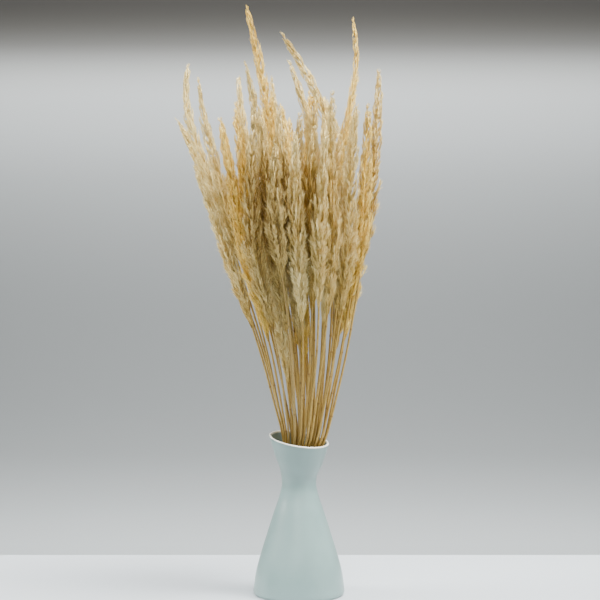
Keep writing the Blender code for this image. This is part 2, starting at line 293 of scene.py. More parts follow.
@dataclass(frozen=True)
class HuskFinish:
    """A plume's colours, from the shaded stalks to the papery tips."""

    deep: Colour
    middle: Colour
    light: Colour
    tip: Colour
    roughness: float = 0.82
    shine: float = 0.25
    sheen: float = 0.15


@dataclass(frozen=True)
class CulmFinish:
    """A bare stem's colours: straw, its darker streaks, and the joints."""

    straw: Colour
    streak: Colour
    joint: Colour
    roughness: float = 0.52
    shine: float = 0.35
    streaks_across: float = 1300.0
    streaks_along: float = 35.0
    relief: float = 0.35
    relief_depth: float = 0.0003


@dataclass(frozen=True)
class TableFinish:
    """The table's plain pale top."""

    colour: Colour = (0.63, 0.688, 0.73)
    roughness: float = 0.55


@dataclass(frozen=True)
class WallFinish:
    """The wall's matt paint, with painted light and shade: light low down, dim in the middle and dark towards
    the ceiling.
    """

    colour: Colour = (0.94, 0.99, 1.0)
    roughness: float = 0.95
    shades: tuple[tuple[float, float], ...] = (  # height, and the paint's lightness there, which is painted light and shade
        (-0.50, 0.90), (-0.35, 0.62), (-0.18, 0.375), (0.10, 0.30), (0.42, 0.27), (0.78, 0.38), (1.04, 0.62),
        (1.15, 0.50), (1.25, 0.09), (1.39, 0.03),
    )
    warm_from: tuple[float, float] = (1.10, 0.16)  # height from which it is warmer, and over what height
    warmth: Colour = (1.11, 1.01, 0.90)


HUSKS = {
    Straw.PALE: HuskFinish(
        (0.37, 0.215, 0.032), (0.63, 0.428, 0.086), (0.91, 0.730, 0.272), (0.98, 0.88, 0.53)
    ),
    Straw.GOLD: HuskFinish(
        (0.41, 0.220, 0.018), (0.69, 0.447, 0.049), (0.93, 0.690, 0.153), (0.97, 0.80, 0.32)
    ),
    # tan: a browner straw, made darker still as painted shade for the front of the bunch, where most tan reeds
    # stand
    Straw.TAN: HuskFinish(
        (0.27, 0.157, 0.025), (0.46, 0.307, 0.066), (0.76, 0.587, 0.195), (0.92, 0.79, 0.42)
    ),
}
CULMS = {
    Straw.PALE: CulmFinish((0.395, 0.262, 0.064), (0.245, 0.145, 0.027), (0.19, 0.102, 0.022)),
    Straw.GOLD: CulmFinish((0.370, 0.235, 0.050), (0.232, 0.128, 0.021), (0.17, 0.083, 0.015)),
    Straw.TAN: CulmFinish((0.315, 0.213, 0.062), (0.200, 0.128, 0.031), (0.15, 0.091, 0.023)),
}


def add_node(tree: bpy.types.NodeTree, kind: str, **settings: object) -> bpy.types.Node:
    """Adds a shader node.

    Args:
        tree: Where.
        kind: The node's type.
        **settings: Properties of the node.

    Returns:
        The node.
    """
    node = tree.nodes.new(kind)
    for name, value in settings.items():
        setattr(node, name, value)
    return node


def add_colour(tree: bpy.types.NodeTree, colour: Colour) -> bpy.types.NodeSocket:
    """Adds a fixed colour.

    Args:
        tree: Where.
        colour: The colour.

    Returns:
        The colour's socket.
    """
    node = add_node(tree, "ShaderNodeRGB")
    node.outputs[0].default_value = (*colour, 1.0)
    return node.outputs[0]


def add_noise(
    tree: bpy.types.NodeTree, spot: bpy.types.NodeSocket, scale: float, detail: float
) -> bpy.types.NodeSocket:
    """Adds a noise texture.

    Args:
        tree: Where.
        spot: The socket that gives where on the piece a point is.
        scale: How many lumps there are to a metre.
        detail: How many finer layers it has.

    Returns:
        The noise's socket.
    """
    noise = add_node(tree, "ShaderNodeTexNoise")
    noise.inputs["Scale"].default_value = scale
    noise.inputs["Detail"].default_value = detail
    tree.links.new(spot, noise.inputs["Vector"])
    return noise.outputs["Fac"]


def add_relief(
    tree: bpy.types.NodeTree,
    shader: bpy.types.Node,
    height: bpy.types.NodeSocket,
    strength: float,
    depth: float,
) -> None:
    """Gives a shader a fine relief.

    Args:
        tree: Where.
        shader: The Principled node.
        height: The relief's height.
        strength: How much of it shows.
        depth: How deep it is.
    """
    bump = add_node(tree, "ShaderNodeBump")
    bump.inputs["Strength"].default_value = strength
    bump.inputs["Distance"].default_value = depth
    tree.links.new(height, bump.inputs["Height"])
    tree.links.new(bump.outputs["Normal"], shader.inputs["Normal"])


def mix_colour(
    tree: bpy.types.NodeTree,
    share: bpy.types.NodeSocket,
    low: bpy.types.NodeSocket,
    high: bpy.types.NodeSocket,
) -> bpy.types.NodeSocket:
    """Mixes two colours.

    Args:
        tree: Where.
        share: How much of the second.
        low: The first colour.
        high: The second colour.

    Returns:
        The mixed colour's socket.
    """
    mix = add_node(tree, "ShaderNodeMix", data_type="RGBA")
    tree.links.new(share, mix.inputs[0])
    tree.links.new(low, mix.inputs[6])
    tree.links.new(high, mix.inputs[7])
    return mix.outputs[2]


def stretch(
    tree: bpy.types.NodeTree, value: bpy.types.NodeSocket, low: float, high: float
) -> bpy.types.NodeSocket:
    """Stretches a value so that low becomes 0 and high becomes 1.

    Args:
        tree: Where.
        value: The value's socket.
        low: The value that becomes 0.
        high: The value that becomes 1.

    Returns:
        The stretched value's socket.
    """
    node = add_node(tree, "ShaderNodeMapRange", interpolation_type="SMOOTHSTEP")
    tree.links.new(value, node.inputs["Value"])
    node.inputs["From Min"].default_value = low
    node.inputs["From Max"].default_value = high
    return node.outputs["Result"]


def group_sockets(group: bpy.types.NodeTree, inputs: dict[str, str], outputs: dict[str, str]) -> None:
    """Gives a node group its sockets.

    Args:
        group: The group.
        inputs: Socket kinds by name.
        outputs: Socket kinds by name.
    """
    for in_out, sockets in (("INPUT", inputs), ("OUTPUT", outputs)):
        for name, kind in sockets.items():
            group.interface.new_socket(name, in_out=in_out, socket_type=kind)


@dataclass
class Effects:
    """The shader node groups that several materials share, each built once."""

    middle_tone: float = 0.45  # the tone at which a husk has its middle colour
    paper_along: tuple[float, float] = (-0.25, 1.35)  # how a husk turns papery towards its tip,
    paper_tone: tuple[float, float] = (0.05, 1.0)  # and from the dullest tone to the brightest
    streak_detail: float = 3.0
    streak_range: tuple[float, float] = (0.42, 0.68)

    def __post_init__(self) -> None:
        """Builds the groups."""
        self.husk_tint = self.make_husk_tint()
        self.streaks = self.make_streaks()

    def make_husk_tint(self) -> bpy.types.NodeTree:
        """Makes the group that colours a spikelet by its tone and by how near its tip a point is.

        Returns:
            The group.
        """
        group = bpy.data.node_groups.new("husk_tint", "ShaderNodeTree")
        inputs = {"Tone": "NodeSocketFloat", "Along": "NodeSocketFloat"}
        inputs |= {name: "NodeSocketColor" for name in ("Deep", "Middle", "Light", "Tip")}
        group_sockets(group, inputs, {"Colour": "NodeSocketColor"})
        source, sink = add_node(group, "NodeGroupInput"), add_node(group, "NodeGroupOutput")
        tone, along, deep, middle, light, tip = (source.outputs[name] for name in inputs)
        dark = mix_colour(group, stretch(group, tone, 0.0, self.middle_tone), deep, middle)
        pale = mix_colour(group, stretch(group, tone, self.middle_tone, 1.0), dark, light)
        papery = add_node(group, "ShaderNodeMath", operation="MULTIPLY")
        group.links.new(stretch(group, along, *self.paper_along), papery.inputs[0])
        group.links.new(stretch(group, tone, *self.paper_tone), papery.inputs[1])
        group.links.new(mix_colour(group, papery.outputs[0], pale, tip), sink.inputs["Colour"])
        return group

    def make_streaks(self) -> bpy.types.NodeTree:
        """Makes the group for fine streaks along Z, as on a dry stem.

        Returns:
            The group.
        """
        group = bpy.data.node_groups.new("lengthwise_streaks", "ShaderNodeTree")
        inputs = {"Across": "NodeSocketFloat", "Along": "NodeSocketFloat"}
        group_sockets(group, inputs, {"Mask": "NodeSocketFloat", "Height": "NodeSocketFloat"})
        source, sink = add_node(group, "NodeGroupInput"), add_node(group, "NodeGroupOutput")
        spot = add_node(group, "ShaderNodeTexCoord")
        scales = add_node(group, "ShaderNodeCombineXYZ")
        for socket, name in zip(scales.inputs, ("Across", "Across", "Along")):
            group.links.new(source.outputs[name], socket)
        scaled = add_node(group, "ShaderNodeVectorMath", operation="MULTIPLY")
        group.links.new(spot.outputs["Object"], scaled.inputs[0])
        group.links.new(scales.outputs[0], scaled.inputs[1])
        noise = add_noise(group, scaled.outputs[0], 1.0, self.streak_detail)
        group.links.new(stretch(group, noise, *self.streak_range), sink.inputs["Mask"])
        group.links.new(noise, sink.inputs["Height"])
        return group


def new_material(name: str, colour: Colour, roughness: float) -> tuple[bpy.types.Material, bpy.types.Node]:
    """Starts a material.

    Args:
        name: Its name.
        colour: Its base colour, for where no node sets it.
        roughness: Its roughness.

    Returns:
        The material, and its Principled node.
    """
    material = bpy.data.materials.new(name)
    material.use_nodes = True
    shader = material.node_tree.nodes["Principled BSDF"]
    shader.inputs["Base Color"].default_value = (*colour, 1.0)
    shader.inputs["Roughness"].default_value = roughness
    return material, shader


class Workshop:
    """Makes the materials from their finishes."""

    def __init__(self) -> None:
        """Makes the materials that the reeds share."""
        self.effects = Effects()
        self.husks = {straw: self.make_husks("husks_" + straw.name.lower(), HUSKS[straw]) for straw in Straw}
        self.culms = {straw: self.make_culm("culm_" + straw.name.lower(), CULMS[straw]) for straw in Straw}

    def make_husks(self, name: str, finish: HuskFinish) -> bpy.types.Material:
        """Makes a material for plumes.

        Args:
            name: Its name.
            finish: Its colours.

        Returns:
            The material.
        """
        material, shader = new_material(name, finish.middle, finish.roughness)
        tree = material.node_tree
        tint = add_node(tree, "ShaderNodeGroup", node_tree=self.effects.husk_tint)
        for socket in ("Tone", "Along"):
            value = add_node(tree, "ShaderNodeAttribute", attribute_name=socket.lower())
            tree.links.new(value.outputs["Fac"], tint.inputs[socket])
        for socket in ("Deep", "Middle", "Light", "Tip"):
            tint.inputs[socket].default_value = (*getattr(finish, socket.lower()), 1.0)
        tree.links.new(tint.outputs["Colour"], shader.inputs["Base Color"])
        shader.inputs["Specular IOR Level"].default_value = finish.shine
        shader.inputs["Sheen Weight"].default_value = finish.sheen
        return material

    def make_culm(self, name: str, finish: CulmFinish) -> bpy.types.Material:
        """Makes a material for bare stems.

        Args:
            name: Its name.
            finish: Its colours and its streaks.

        Returns:
            The material.
        """
        material, shader = new_material(name, finish.straw, finish.roughness)
        tree = material.node_tree
        streaks = add_node(tree, "ShaderNodeGroup", node_tree=self.effects.streaks)
        streaks.inputs["Across"].default_value = finish.streaks_across
        streaks.inputs["Along"].default_value = finish.streaks_along
        straw, streak, joint = (
            add_colour(tree, colour) for colour in (finish.straw, finish.streak, finish.joint)
        )
        streaked = mix_colour(tree, streaks.outputs["Mask"], straw, streak)
        ring = add_node(tree, "ShaderNodeAttribute", attribute_name="joint")
        tree.links.new(mix_colour(tree, ring.outputs["Fac"], streaked, joint), shader.inputs["Base Color"])
        shader.inputs["Specular IOR Level"].default_value = finish.shine
        add_relief(tree, shader, streaks.outputs["Height"], finish.relief, finish.relief_depth)
        return material

    def glaze(self, finish: GlazeFinish) -> bpy.types.Material:
        """Makes the vase's glaze.

        Args:
            finish: Its colours and gloss.

        Returns:
            The material.
        """
        material, shader = new_material("celadon_glaze", finish.body, finish.roughness)
        tree = material.node_tree
        spot = add_node(tree, "ShaderNodeTexCoord").outputs["Object"]
        cloud = stretch(tree, add_noise(tree, spot, finish.cloud_scale, finish.detail), *finish.cloud_range)
        colour = mix_colour(tree, cloud, add_colour(tree, finish.body), add_colour(tree, finish.pooled))
        # thick darkens the flare as thicker glaze and painted shade; lip lightens the rim as thin glaze and a
        # painted highlight; foot is the bare clay
        for name in ("thick", "lip", "foot"):
            where = add_node(tree, "ShaderNodeAttribute", attribute_name=name)
            colour = mix_colour(tree, where.outputs["Fac"], colour, add_colour(tree, getattr(finish, name)))
        tree.links.new(colour, shader.inputs["Base Color"])
        skin = add_noise(tree, spot, finish.skin_scale, finish.detail)
        add_relief(tree, shader, skin, finish.skin_relief, finish.skin_depth)
        shader.inputs["Coat Weight"].default_value = finish.coat
        shader.inputs["Coat Roughness"].default_value = finish.coat_roughness
        return material

    def wall(self, finish: WallFinish) -> bpy.types.Material:
        """Makes the wall's paint, with painted light and shade by height.

        Args:
            finish: Its tint, its roughness and its shades.

        Returns:
            The material.
        """
        material, shader = new_material("wall", finish.colour, finish.roughness)
        tree = material.node_tree
        spot = add_node(tree, "ShaderNodeTexCoord")
        split = add_node(tree, "ShaderNodeSeparateXYZ")
        tree.links.new(spot.outputs["Object"], split.inputs[0])
        low, high = finish.shades[0][0], finish.shades[-1][0]
        height = add_node(tree, "ShaderNodeMapRange")
        height.inputs["From Min"].default_value = low
        height.inputs["From Max"].default_value = high
        tree.links.new(split.outputs["Z"], height.inputs["Value"])
        ramp = add_node(tree, "ShaderNodeValToRGB")
        ramp.color_ramp.interpolation = "B_SPLINE"
        while len(ramp.color_ramp.elements) < len(finish.shades):
            ramp.color_ramp.elements.new(0.5)
        for element, (z, shade) in zip(ramp.color_ramp.elements, finish.shades):
            element.position = (z - low) / (high - low)
            top = float(smooth_step(z, *finish.warm_from))
            element.color = (
                *(shade * part * warm**top for part, warm in zip(finish.colour, finish.warmth)), 1.0
            )
        tree.links.new(height.outputs["Result"], ramp.inputs["Fac"])
        tree.links.new(ramp.outputs["Color"], shader.inputs["Base Color"])
        return material

    def table(self, finish: TableFinish) -> bpy.types.Material:
        """Makes the table's plain material."""
        return new_material("table_top", finish.colour, finish.roughness)[0]


def place(name: str, mesh: bpy.types.Mesh, material: bpy.types.Material) -> bpy.types.Object:
    """Puts a mesh into the scene.

    Args:
        name: The object's name.
        mesh: Its mesh.
        material: Its finish.

    Returns:
        The object.
    """
    thing = bpy.data.objects.new(name, mesh)
    mesh.materials.append(material)
    bpy.context.scene.collection.objects.link(thing)
    return thing


@dataclass
class Vase:
    """The turned vase: hourglass-shaped, with a flared mouth that slants forward and to the right."""

    wall_line: tuple[tuple[float, float], ...] = (  # height and outer radius, before the mouth is tilted
        (0.005, 0.0552), (0.028, 0.0520), (0.052, 0.0454), (0.077, 0.0376), (0.101, 0.0299), (0.119, 0.0238),
        (0.1345, 0.0208), (0.150, 0.0234), (0.162, 0.0284), (0.174, 0.0323), (0.187, 0.0363),
    )
    wall: float = 0.0032
    lip: float = 0.0026
    floor: float = 0.006
    base_round: float = 0.003
    mouth_slope: tuple[float, float] = (-0.144, 0.161)  # rise of the mouth's plane along x and y
    tilt_from: tuple[float, float] = (0.136, 0.022)  # height from which it tilts, and over what height
    flare_shade_from: tuple[float, float] = (0.120, 0.030)  # the same for the darker glaze: thicker glaze, and painted shade on the flare
    sides: int = 112
    rows: int = 56
    base_steps: int = 6
    lip_steps: int = 7
    bare_below: float = -1.2  # the base's rounding has no glaze below this angle
    underside: tuple[float, float] = (0.6, 0.0015)  # rings at a share of its edge, and this near the edge
    map_margins: tuple[float, float] = (0.005, 0.020)

    @property
    def mouth(self) -> float:
        """Height of the mouth's middle."""
        return self.wall_line[-1][0]

    def radius(self, z: np.ndarray | float) -> np.ndarray:
        """Gives the outer radius at a height of the upright vase."""
        return smooth_through(self.wall_line, z)

    def tilt(self, x: np.ndarray, y: np.ndarray, z: np.ndarray) -> np.ndarray:
        """Gives how much the slanting mouth raises a point.

        Args:
            x: The point's place to the right.
            y: The point's place towards the back.
            z: The point's height on the upright vase.

        Returns:
            The rise.
        """
        return smooth_step(z, *self.tilt_from) * (self.mouth_slope[0] * x + self.mouth_slope[1] * y)

    def section(self) -> np.ndarray:
        """Draws half of the section, from the underside's middle out, up the outside and down the inside.

        Returns:
            Rows of radius, height, lip share and foot share.
        """
        base_top = self.wall_line[0][0]
        edge = float(self.radius(base_top)) - self.base_round
        share, inset = self.underside
        line = [(0.0, 0.0, 0.0, 1.0), (share * edge, 0.0, 0.0, 1.0), (edge - inset, 0.0, 0.0, 1.0)]
        for angle in np.linspace(-math.pi / 2, 0.0, self.base_steps + 1)[:-1]:
            out, up = self.base_round * math.cos(angle), base_top * (1 + math.sin(angle))
            line.append((edge + out, up, 0.0, 1.0 if angle < self.bare_below else 0.0))
        for z in np.linspace(base_top, self.mouth, self.rows):
            line.append((float(self.radius(z)), z, 0.0, 0.0))
        top, half = self.wall_line[-1][1], self.lip / 2
        # the rounded lip, which takes the lip colour: thin glaze and a painted highlight
        for angle in np.linspace(0.0, math.pi, self.lip_steps + 1)[1:-1]:
            line.append((top - half * (1 - math.cos(angle)), self.mouth + half * math.sin(angle), 1.0, 0.0))
        heights = np.linspace(self.mouth - half, self.floor + self.base_round, self.rows)
        for z, thick in zip(heights, np.linspace(self.lip, self.wall, self.rows)):
            line.append((float(self.radius(z)) - thick, z, 0.0, 0.0))
        inner = float(self.radius(base_top)) - self.wall - self.base_round
        line += [(inner, self.floor, 0.0, 0.0), (0.0, self.floor, 0.0, 0.0)]
        return np.array(line)

    def build(self, workshop: Workshop) -> bpy.types.Object:
        """Turns the section into the vase, tilts its mouth and glazes it.

        Args:
            workshop: Where the glaze comes from.

        Returns:
            The vase.
        """
        line = self.section()
        radius, height = line[1:-1, 0:1], line[1:-1, 1:2]
        angles = np.arange(self.sides) * 2 * math.pi / self.sides
        x, y = radius * np.cos(angles), radius * np.sin(angles)
        z = np.repeat(height, self.sides, axis=1)
        length = np.concatenate([[0.0], np.cumsum(np.hypot(*np.diff(line[1:-1, :2], axis=0).T))])
        surface = Surface("vase_glazed")
        surface.add_tube(
            np.stack([x, y, z + self.tilt(x, y, z)], axis=-1),
            np.array([(0.0, 0.0, line[end, 1]) for end in (0, -1)]),
            length / length[-1],
            self.map_margins,
            lip=line[:, 2],
            foot=line[:, 3],
            # the thick share: painted shade on the flare, as well as thicker glaze
            thick=smooth_step(line[:, 1], *self.flare_shade_from),
        )
        vase = place("vase_glazed", surface.mesh(), workshop.glaze(GlazeFinish()))
        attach(vase, "root")
        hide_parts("vase")
        return vase


@dataclass
class Reed:
    """One reed's place in the bunch and its size."""

    name: str
    plan: tuple[float, float]  # its place in the crown, where the bunch's edge is 1
    tip: float  # height of its tip
    offset: tuple[float, float] = (0.0, 0.0)  # how far right and back of the fan's own line its tip stands
    bend_from: float = 0.30  # height at which it leaves that line
    bend: float = 2.0  # how late it does most of its bending
    bow: float = 0.0  # how far it bows to the right on the way
    length: float = 0.23  # of the plume
    plump: float = 0.0080  # radius that the plume's outline is drawn from
    straw: Straw = Straw.PALE
    axis: np.ndarray | None = field(default=None, repr=False)

    @property
    def neck(self) -> float:
        """Height of the panicle's lowest whorl."""
        return self.tip - self.length

    def point(self, z: np.ndarray | float) -> np.ndarray:
        """Gives the axis's points at some heights, one a row."""
        x, y = (np.interp(z, self.axis[:, 2], self.axis[:, k]) for k in (0, 1))
        return np.stack([x, y, np.asarray(z)], axis=-1)

    def ahead(self, z: np.ndarray | float) -> np.ndarray:
        """Gives the axis's directions at some heights, one a row."""
        return unit(self.point(np.asarray(z) + SLOPE_REACH) - self.point(np.asarray(z) - SLOPE_REACH))

    def share(self, z: np.ndarray) -> np.ndarray:
        """Gives how far up the plume some heights are, from 0 at its neck to 1 at its tip."""
        return np.clip((z - self.neck) / self.length, 0.0, 1.0)

    def panicle_radius(self, share: np.ndarray | float) -> np.ndarray:
        """Gives the plume's outer radius.

        Args:
            share: Where, as a share of the plume's length from its neck.

        Returns:
            The radius there.
        """
        opening = OPEN_LOW + OPEN_MORE * np.clip(share / OPEN_OVER, 0.0, 1.0) ** OPEN_POWER
        closing = CLOSE_LOW + CLOSE_MORE * (1.0 - np.clip(share, 0.0, 1.0)) ** CLOSE_POWER
        return self.plump * opening * closing


@dataclass
class Bunch:
    """Where the reeds stand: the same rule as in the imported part, so that each look falls on its solid."""

    vase: Vase
    seed: int = 3
    count: int = 50
    touch: float = 0.0003
    wall_clear: float = 0.0012
    waist: float = 0.1345
    waist_spread: float = 0.0145
    fan_slope: float = 0.222
    fan_bend: float = 0.010
    crown: float = 0.540
    twist: float = math.radians(38)
    twist_over: float = 0.080
    lean_right: tuple[float, float, float] = (0.0085, 0.140, 0.060)  # how far, from where, over what height
    lean_left: tuple[float, float, float] = (0.0160, 0.260, 0.260)
    bow_late: float = 1.3
    overshoot: float = 1.3
    level: float = 0.010
    rounds: int = 90
    soften: int = 3
    push: float = 0.42
    mass_tip: tuple[float, float, float] = (0.560, 0.626, 0.604)
    front_drop: float = 0.070
    short_share: float = 0.22
    short_drop: tuple[float, float] = (0.03, 0.09)
    mass_stray: float = 0.014
    plan_jitter: float = 0.05
    mass_length: tuple[float, float] = (0.210, 0.270)
    mass_plump: tuple[float, float] = (0.0118, 0.0150)
    lowest_neck: float = 0.255
    right_neck_rise: float = 0.060
    front_neck_rise: float = 0.150
    front_neck_power: int = 6
    front_from: float = -0.25
    left_front_from: float = -0.55
    right_front_from: float = 0.10
    side_from: float = 0.55
    back_from: float = 0.45
    culm_foot: float = 0.0016
    culm_neck: float = 0.0012
    most_reach: float = 1.12
    shelter_shade_middle: tuple[float, float] = (-0.18, -0.40)  # the plan's place where the painted shade is deepest
    shelter_shade_out: tuple[float, float] = (0.20, 0.85)  # in fan radii: how near it fully, and over what it fades
    shelter_shade_from: tuple[float, float] = (0.37, 0.07)  # height at which it sets in, and over what height
    shelter_shade_to: tuple[float, float] = (0.48, 0.07)  # the same for where it ends
    shelter_shade_below: float = 0.04  # how much of it there is lower down
    leaders: tuple[tuple, ...] = (
        ((-0.20, -0.05), -0.0640, 0.714, -0.004, 0.530, 1.20, 0.000, 0.260, 0.0112, Straw.GOLD),
        ((0.48, -0.25), -0.0210, 0.673, -0.012, 0.545, 1.25, 0.000, 0.250, 0.0120, Straw.PALE),
        ((0.57, 0.20), 0.0665, 0.709, 0.004, 0.540, 2.00, 0.008, 0.270, 0.0072, Straw.GOLD),
        ((1.00, 0.02), 0.0960, 0.638, -0.006, 0.460, 1.60, 0.000, 0.250, 0.0125, Straw.PALE),
        ((-1.02, 0.06), -0.1360, 0.647, 0.010, 0.480, 1.60, -0.013, 0.245, 0.0100, Straw.PALE),
        ((-1.10, 0.20), -0.1500, 0.580, 0.004, 0.440, 2.60, 0.000, 0.200, 0.0100, Straw.PALE),
        ((-0.94, -0.20), -0.1200, 0.621, -0.010, 0.520, 2.00, -0.002, 0.245, 0.0105, Straw.PALE),
        ((-0.52, 0.22), -0.0750, 0.636, 0.008, 0.500, 2.00, -0.003, 0.240, 0.0108, Straw.PALE),
        ((-0.34, -0.30), -0.0630, 0.638, -0.006, 0.500, 2.00, 0.000, 0.235, 0.0100, Straw.TAN),
        ((0.20, -0.10), -0.0150, 0.645, -0.008, 0.530, 1.30, 0.000, 0.240, 0.0100, Straw.PALE),
        ((-0.04, 0.42), -0.0220, 0.604, 0.010, 0.480, 2.00, 0.000, 0.225, 0.0100, Straw.GOLD),
        ((-0.15, 0.14), -0.0340, 0.632, 0.006, 0.480, 2.00, -0.002, 0.235, 0.0095, Straw.TAN),
        ((-0.78, 0.30), -0.0980, 0.584, 0.008, 0.460, 2.00, 0.000, 0.225, 0.0125, Straw.GOLD),
        ((-1.08, -0.16), -0.1240, 0.516, -0.006, 0.400, 2.00, 0.000, 0.200, 0.0110, Straw.PALE),
        ((0.42, 0.34), 0.0320, 0.610, 0.008, 0.460, 2.00, 0.000, 0.225, 0.0110, Straw.GOLD),
        ((0.84, -0.34), 0.0790, 0.588, -0.008, 0.460, 2.00, 0.000, 0.235, 0.0130, Straw.GOLD),
    )

    def fan_spread(self, z: np.ndarray | float) -> np.ndarray:
        """Gives the bunch's radius at a height: narrow up to the waist, then opening at one slope."""
        rise = np.log1p(np.exp((z - self.waist) / self.fan_bend))
        return self.waist_spread + self.fan_slope * self.fan_bend * rise

    def fan_place(self, plan: tuple[float, float], z: np.ndarray | float) -> np.ndarray:
        """Finds where the fan alone carries a place of the plan.

        Args:
            plan: The place in the crown, where the bunch's edge is 1.
            z: The heights.

        Returns:
            Its x and y there.
        """
        crown_turn = math.atan((self.crown - self.waist) / self.twist_over)
        turn = self.twist * 2 / math.pi * (np.arctan((z - self.waist) / self.twist_over) - crown_turn)
        right, left = (far * smooth_step(z, *rise) for far, *rise in (self.lean_right, self.lean_left))
        x = right - left + self.fan_spread(z) * (plan[0] * np.cos(turn) - plan[1] * np.sin(turn))
        y = self.fan_spread(z) * (plan[0] * np.sin(turn) + plan[1] * np.cos(turn))
        return np.stack([x, y], axis=-1)

    def shelter_shade(self, points: np.ndarray) -> np.ndarray:
        """Gives how much painted shade the plumes get at some points, as in the sheltered middle of the bunch.

        Args:
            points: The points, one a row.

        Returns:
            From 0 at the outside, above and below, to 1 in the middle.
        """
        x, y, z = points.T
        middle = self.fan_place(self.shelter_shade_middle, z)
        out = np.hypot(x - middle[:, 0], y - middle[:, 1]) / self.fan_spread(z)
        onset, fading = smooth_step(z, *self.shelter_shade_from), smooth_step(z, *self.shelter_shade_to)
        between = (self.shelter_shade_below + (1.0 - self.shelter_shade_below) * onset) * (1.0 - fading)
        return (1.0 - smooth_step(out, *self.shelter_shade_out)) * between

    def plan_places(self) -> list[tuple[float, float]]:
        """Spreads places evenly in a unit disc, as in a sunflower's head.

        Returns:
            The places, from the middle out.
        """
        golden = math.pi * (3.0 - math.sqrt(5.0))
        radii = [math.sqrt((i + 0.5) / self.count) for i in range(self.count)]
        return [(r * math.cos(i * golden), r * math.sin(i * golden)) for i, r in enumerate(radii)]

    def plan(self) -> list[Reed]:
        """Draws all reeds, the ones that stand clear of the mass first.

        Returns:
            The reeds, without their axes.
        """
        draw = random.Random(self.seed)
        free = self.plan_places()
        reeds = []
        for spot, tip_x, tip, forward, bend_from, bend, bow, length, plump, straw in self.leaders:
            free.remove(min(free, key=lambda p: math.dist(p, spot)))
            offset = (tip_x - float(self.fan_place(spot, tip)[0]), forward)
            reeds.append(Reed("", spot, tip, offset, bend_from, bend, bow, length, plump, straw))
        for spot in sorted(free):
            tip = draw.triangular(*self.mass_tip) - self.front_drop * max(-spot[1], 0.0) * draw.random()
            if draw.random() < self.short_share:
                tip -= draw.uniform(*self.short_drop)
            lowest = self.lowest_neck + self.right_neck_rise * max(spot[0], 0.0)
            lowest += self.front_neck_rise * max(-spot[1], 0.0) ** self.front_neck_power
            stray, around = draw.uniform(0.0, self.mass_stray), draw.uniform(0.0, 2 * math.pi)
            reeds.append(
                Reed(
                    "",
                    tuple(along + draw.uniform(-self.plan_jitter, self.plan_jitter) for along in spot),
                    tip,
                    (stray * math.cos(around), stray * math.sin(around)),
                    length=min(draw.uniform(*self.mass_length), tip - lowest),
                    plump=draw.uniform(*self.mass_plump),
                    straw=draw.choice(self.tones_near(spot)),
                )
            )
        for number, reed in enumerate(reeds, 1):
            reed.name = f"reed_{number:02d}"
        return reeds

    def tones_near(self, spot: tuple[float, float]) -> tuple[Straw, Straw, Straw]:
        """Names the straw tones found at a place in the plan: duller in front, partly as painted shade, golden
        at the edges.

        Args:
            spot: The place in the plan.

        Returns:
            The tones, the commoner ones twice.
        """
        if spot[1] < self.front_from and spot[0] > self.right_front_from:
            return (Straw.PALE, Straw.PALE, Straw.PALE)
        # the weakly lit front gets mostly tan, partly as painted shade
        if spot[1] < self.front_from and spot[0] > self.left_front_from:
            return (Straw.PALE, Straw.TAN, Straw.TAN)
        if abs(spot[0]) > self.side_from or spot[1] > self.back_from:
            return (Straw.GOLD, Straw.GOLD, Straw.PALE)
        return (Straw.PALE, Straw.PALE, Straw.GOLD)

    def room(self, reed: Reed, z: np.ndarray) -> np.ndarray:
        """Gives the radius a reed takes up at some heights: its culm's, or its plume's.

        Args:
            reed: The reed.
            z: The heights.

        Returns:
            The radii.
        """
        culm = self.culm_foot + (self.culm_neck - self.culm_foot) * np.clip(z / reed.neck, 0.0, 1.0)
        plume = self.most_reach * reed.panicle_radius((z - reed.neck) / reed.length)
        return np.where(z > reed.neck, np.maximum(plume, culm), culm)

    def settle(self, reeds: list[Reed]) -> None:
        """Gives each reed its axis, held clear of its neighbours and of the vase at every level.

        Args:
            reeds: The reeds, changed in place.
        """
        foot = self.vase.floor + self.touch
        levels = np.arange(foot, max(reed.tip for reed in reeds) + self.level, self.level)
        spots = np.zeros((len(reeds), len(levels), 2))
        room = np.zeros((len(reeds), len(levels)))
        there = np.zeros((len(reeds), len(levels)), bool)
        for i, reed in enumerate(reeds):
            share = np.clip((levels - reed.bend_from) / (reed.tip - reed.bend_from), 0.0, self.overshoot)
            spots[i] = self.fan_place(reed.plan, levels) + np.outer(share**reed.bend, reed.offset)
            spots[i, :, 0] += reed.bow * np.sin(math.pi * np.minimum(share, 1.0) ** self.bow_late)
            slope = np.hypot(*np.gradient(spots[i], self.level, axis=0).T)
            room[i] = self.room(reed, levels) * np.sqrt(1 + slope**2)
            there[i] = levels < reed.tip + self.level
        start = spots.copy()
        need = room[:, None] + room[None] + 2 * self.touch
        pair = there[:, None] & there[None] & ~np.eye(len(reeds), dtype=bool)[..., None]
        inside = levels < self.vase.mouth
        lowest = self.vase.wall_line[0][0]
        for _ in range(self.rounds):
            apart = spots[:, None] - spots[None]
            gap = np.maximum(np.linalg.norm(apart, axis=-1), 1e-6)
            push = np.where(pair, np.clip(need - gap, 0.0, None), 0.0)
            moved = spots - start + ((self.push * push / gap)[..., None] * apart).sum(axis=1)
            for _ in range(self.soften):
                moved[:, 1:-1] = (moved[:, :-2] + 2 * moved[:, 1:-1] + moved[:, 2:]) / 4
            spots = start + moved
            rise = self.vase.tilt(spots[:, inside, 0], spots[:, inside, 1], levels[inside])
            wall = self.vase.radius(np.maximum(levels[inside] - rise, lowest)) - self.vase.wall
            most = wall - room[:, inside] - self.wall_clear
            out = np.linalg.norm(spots[:, inside], axis=-1)
            spots[:, inside] *= np.minimum(1.0, most / np.maximum(out, 1e-6))[..., None]
        for i, reed in enumerate(reeds):
            reed.axis = np.column_stack([spots[i], levels])


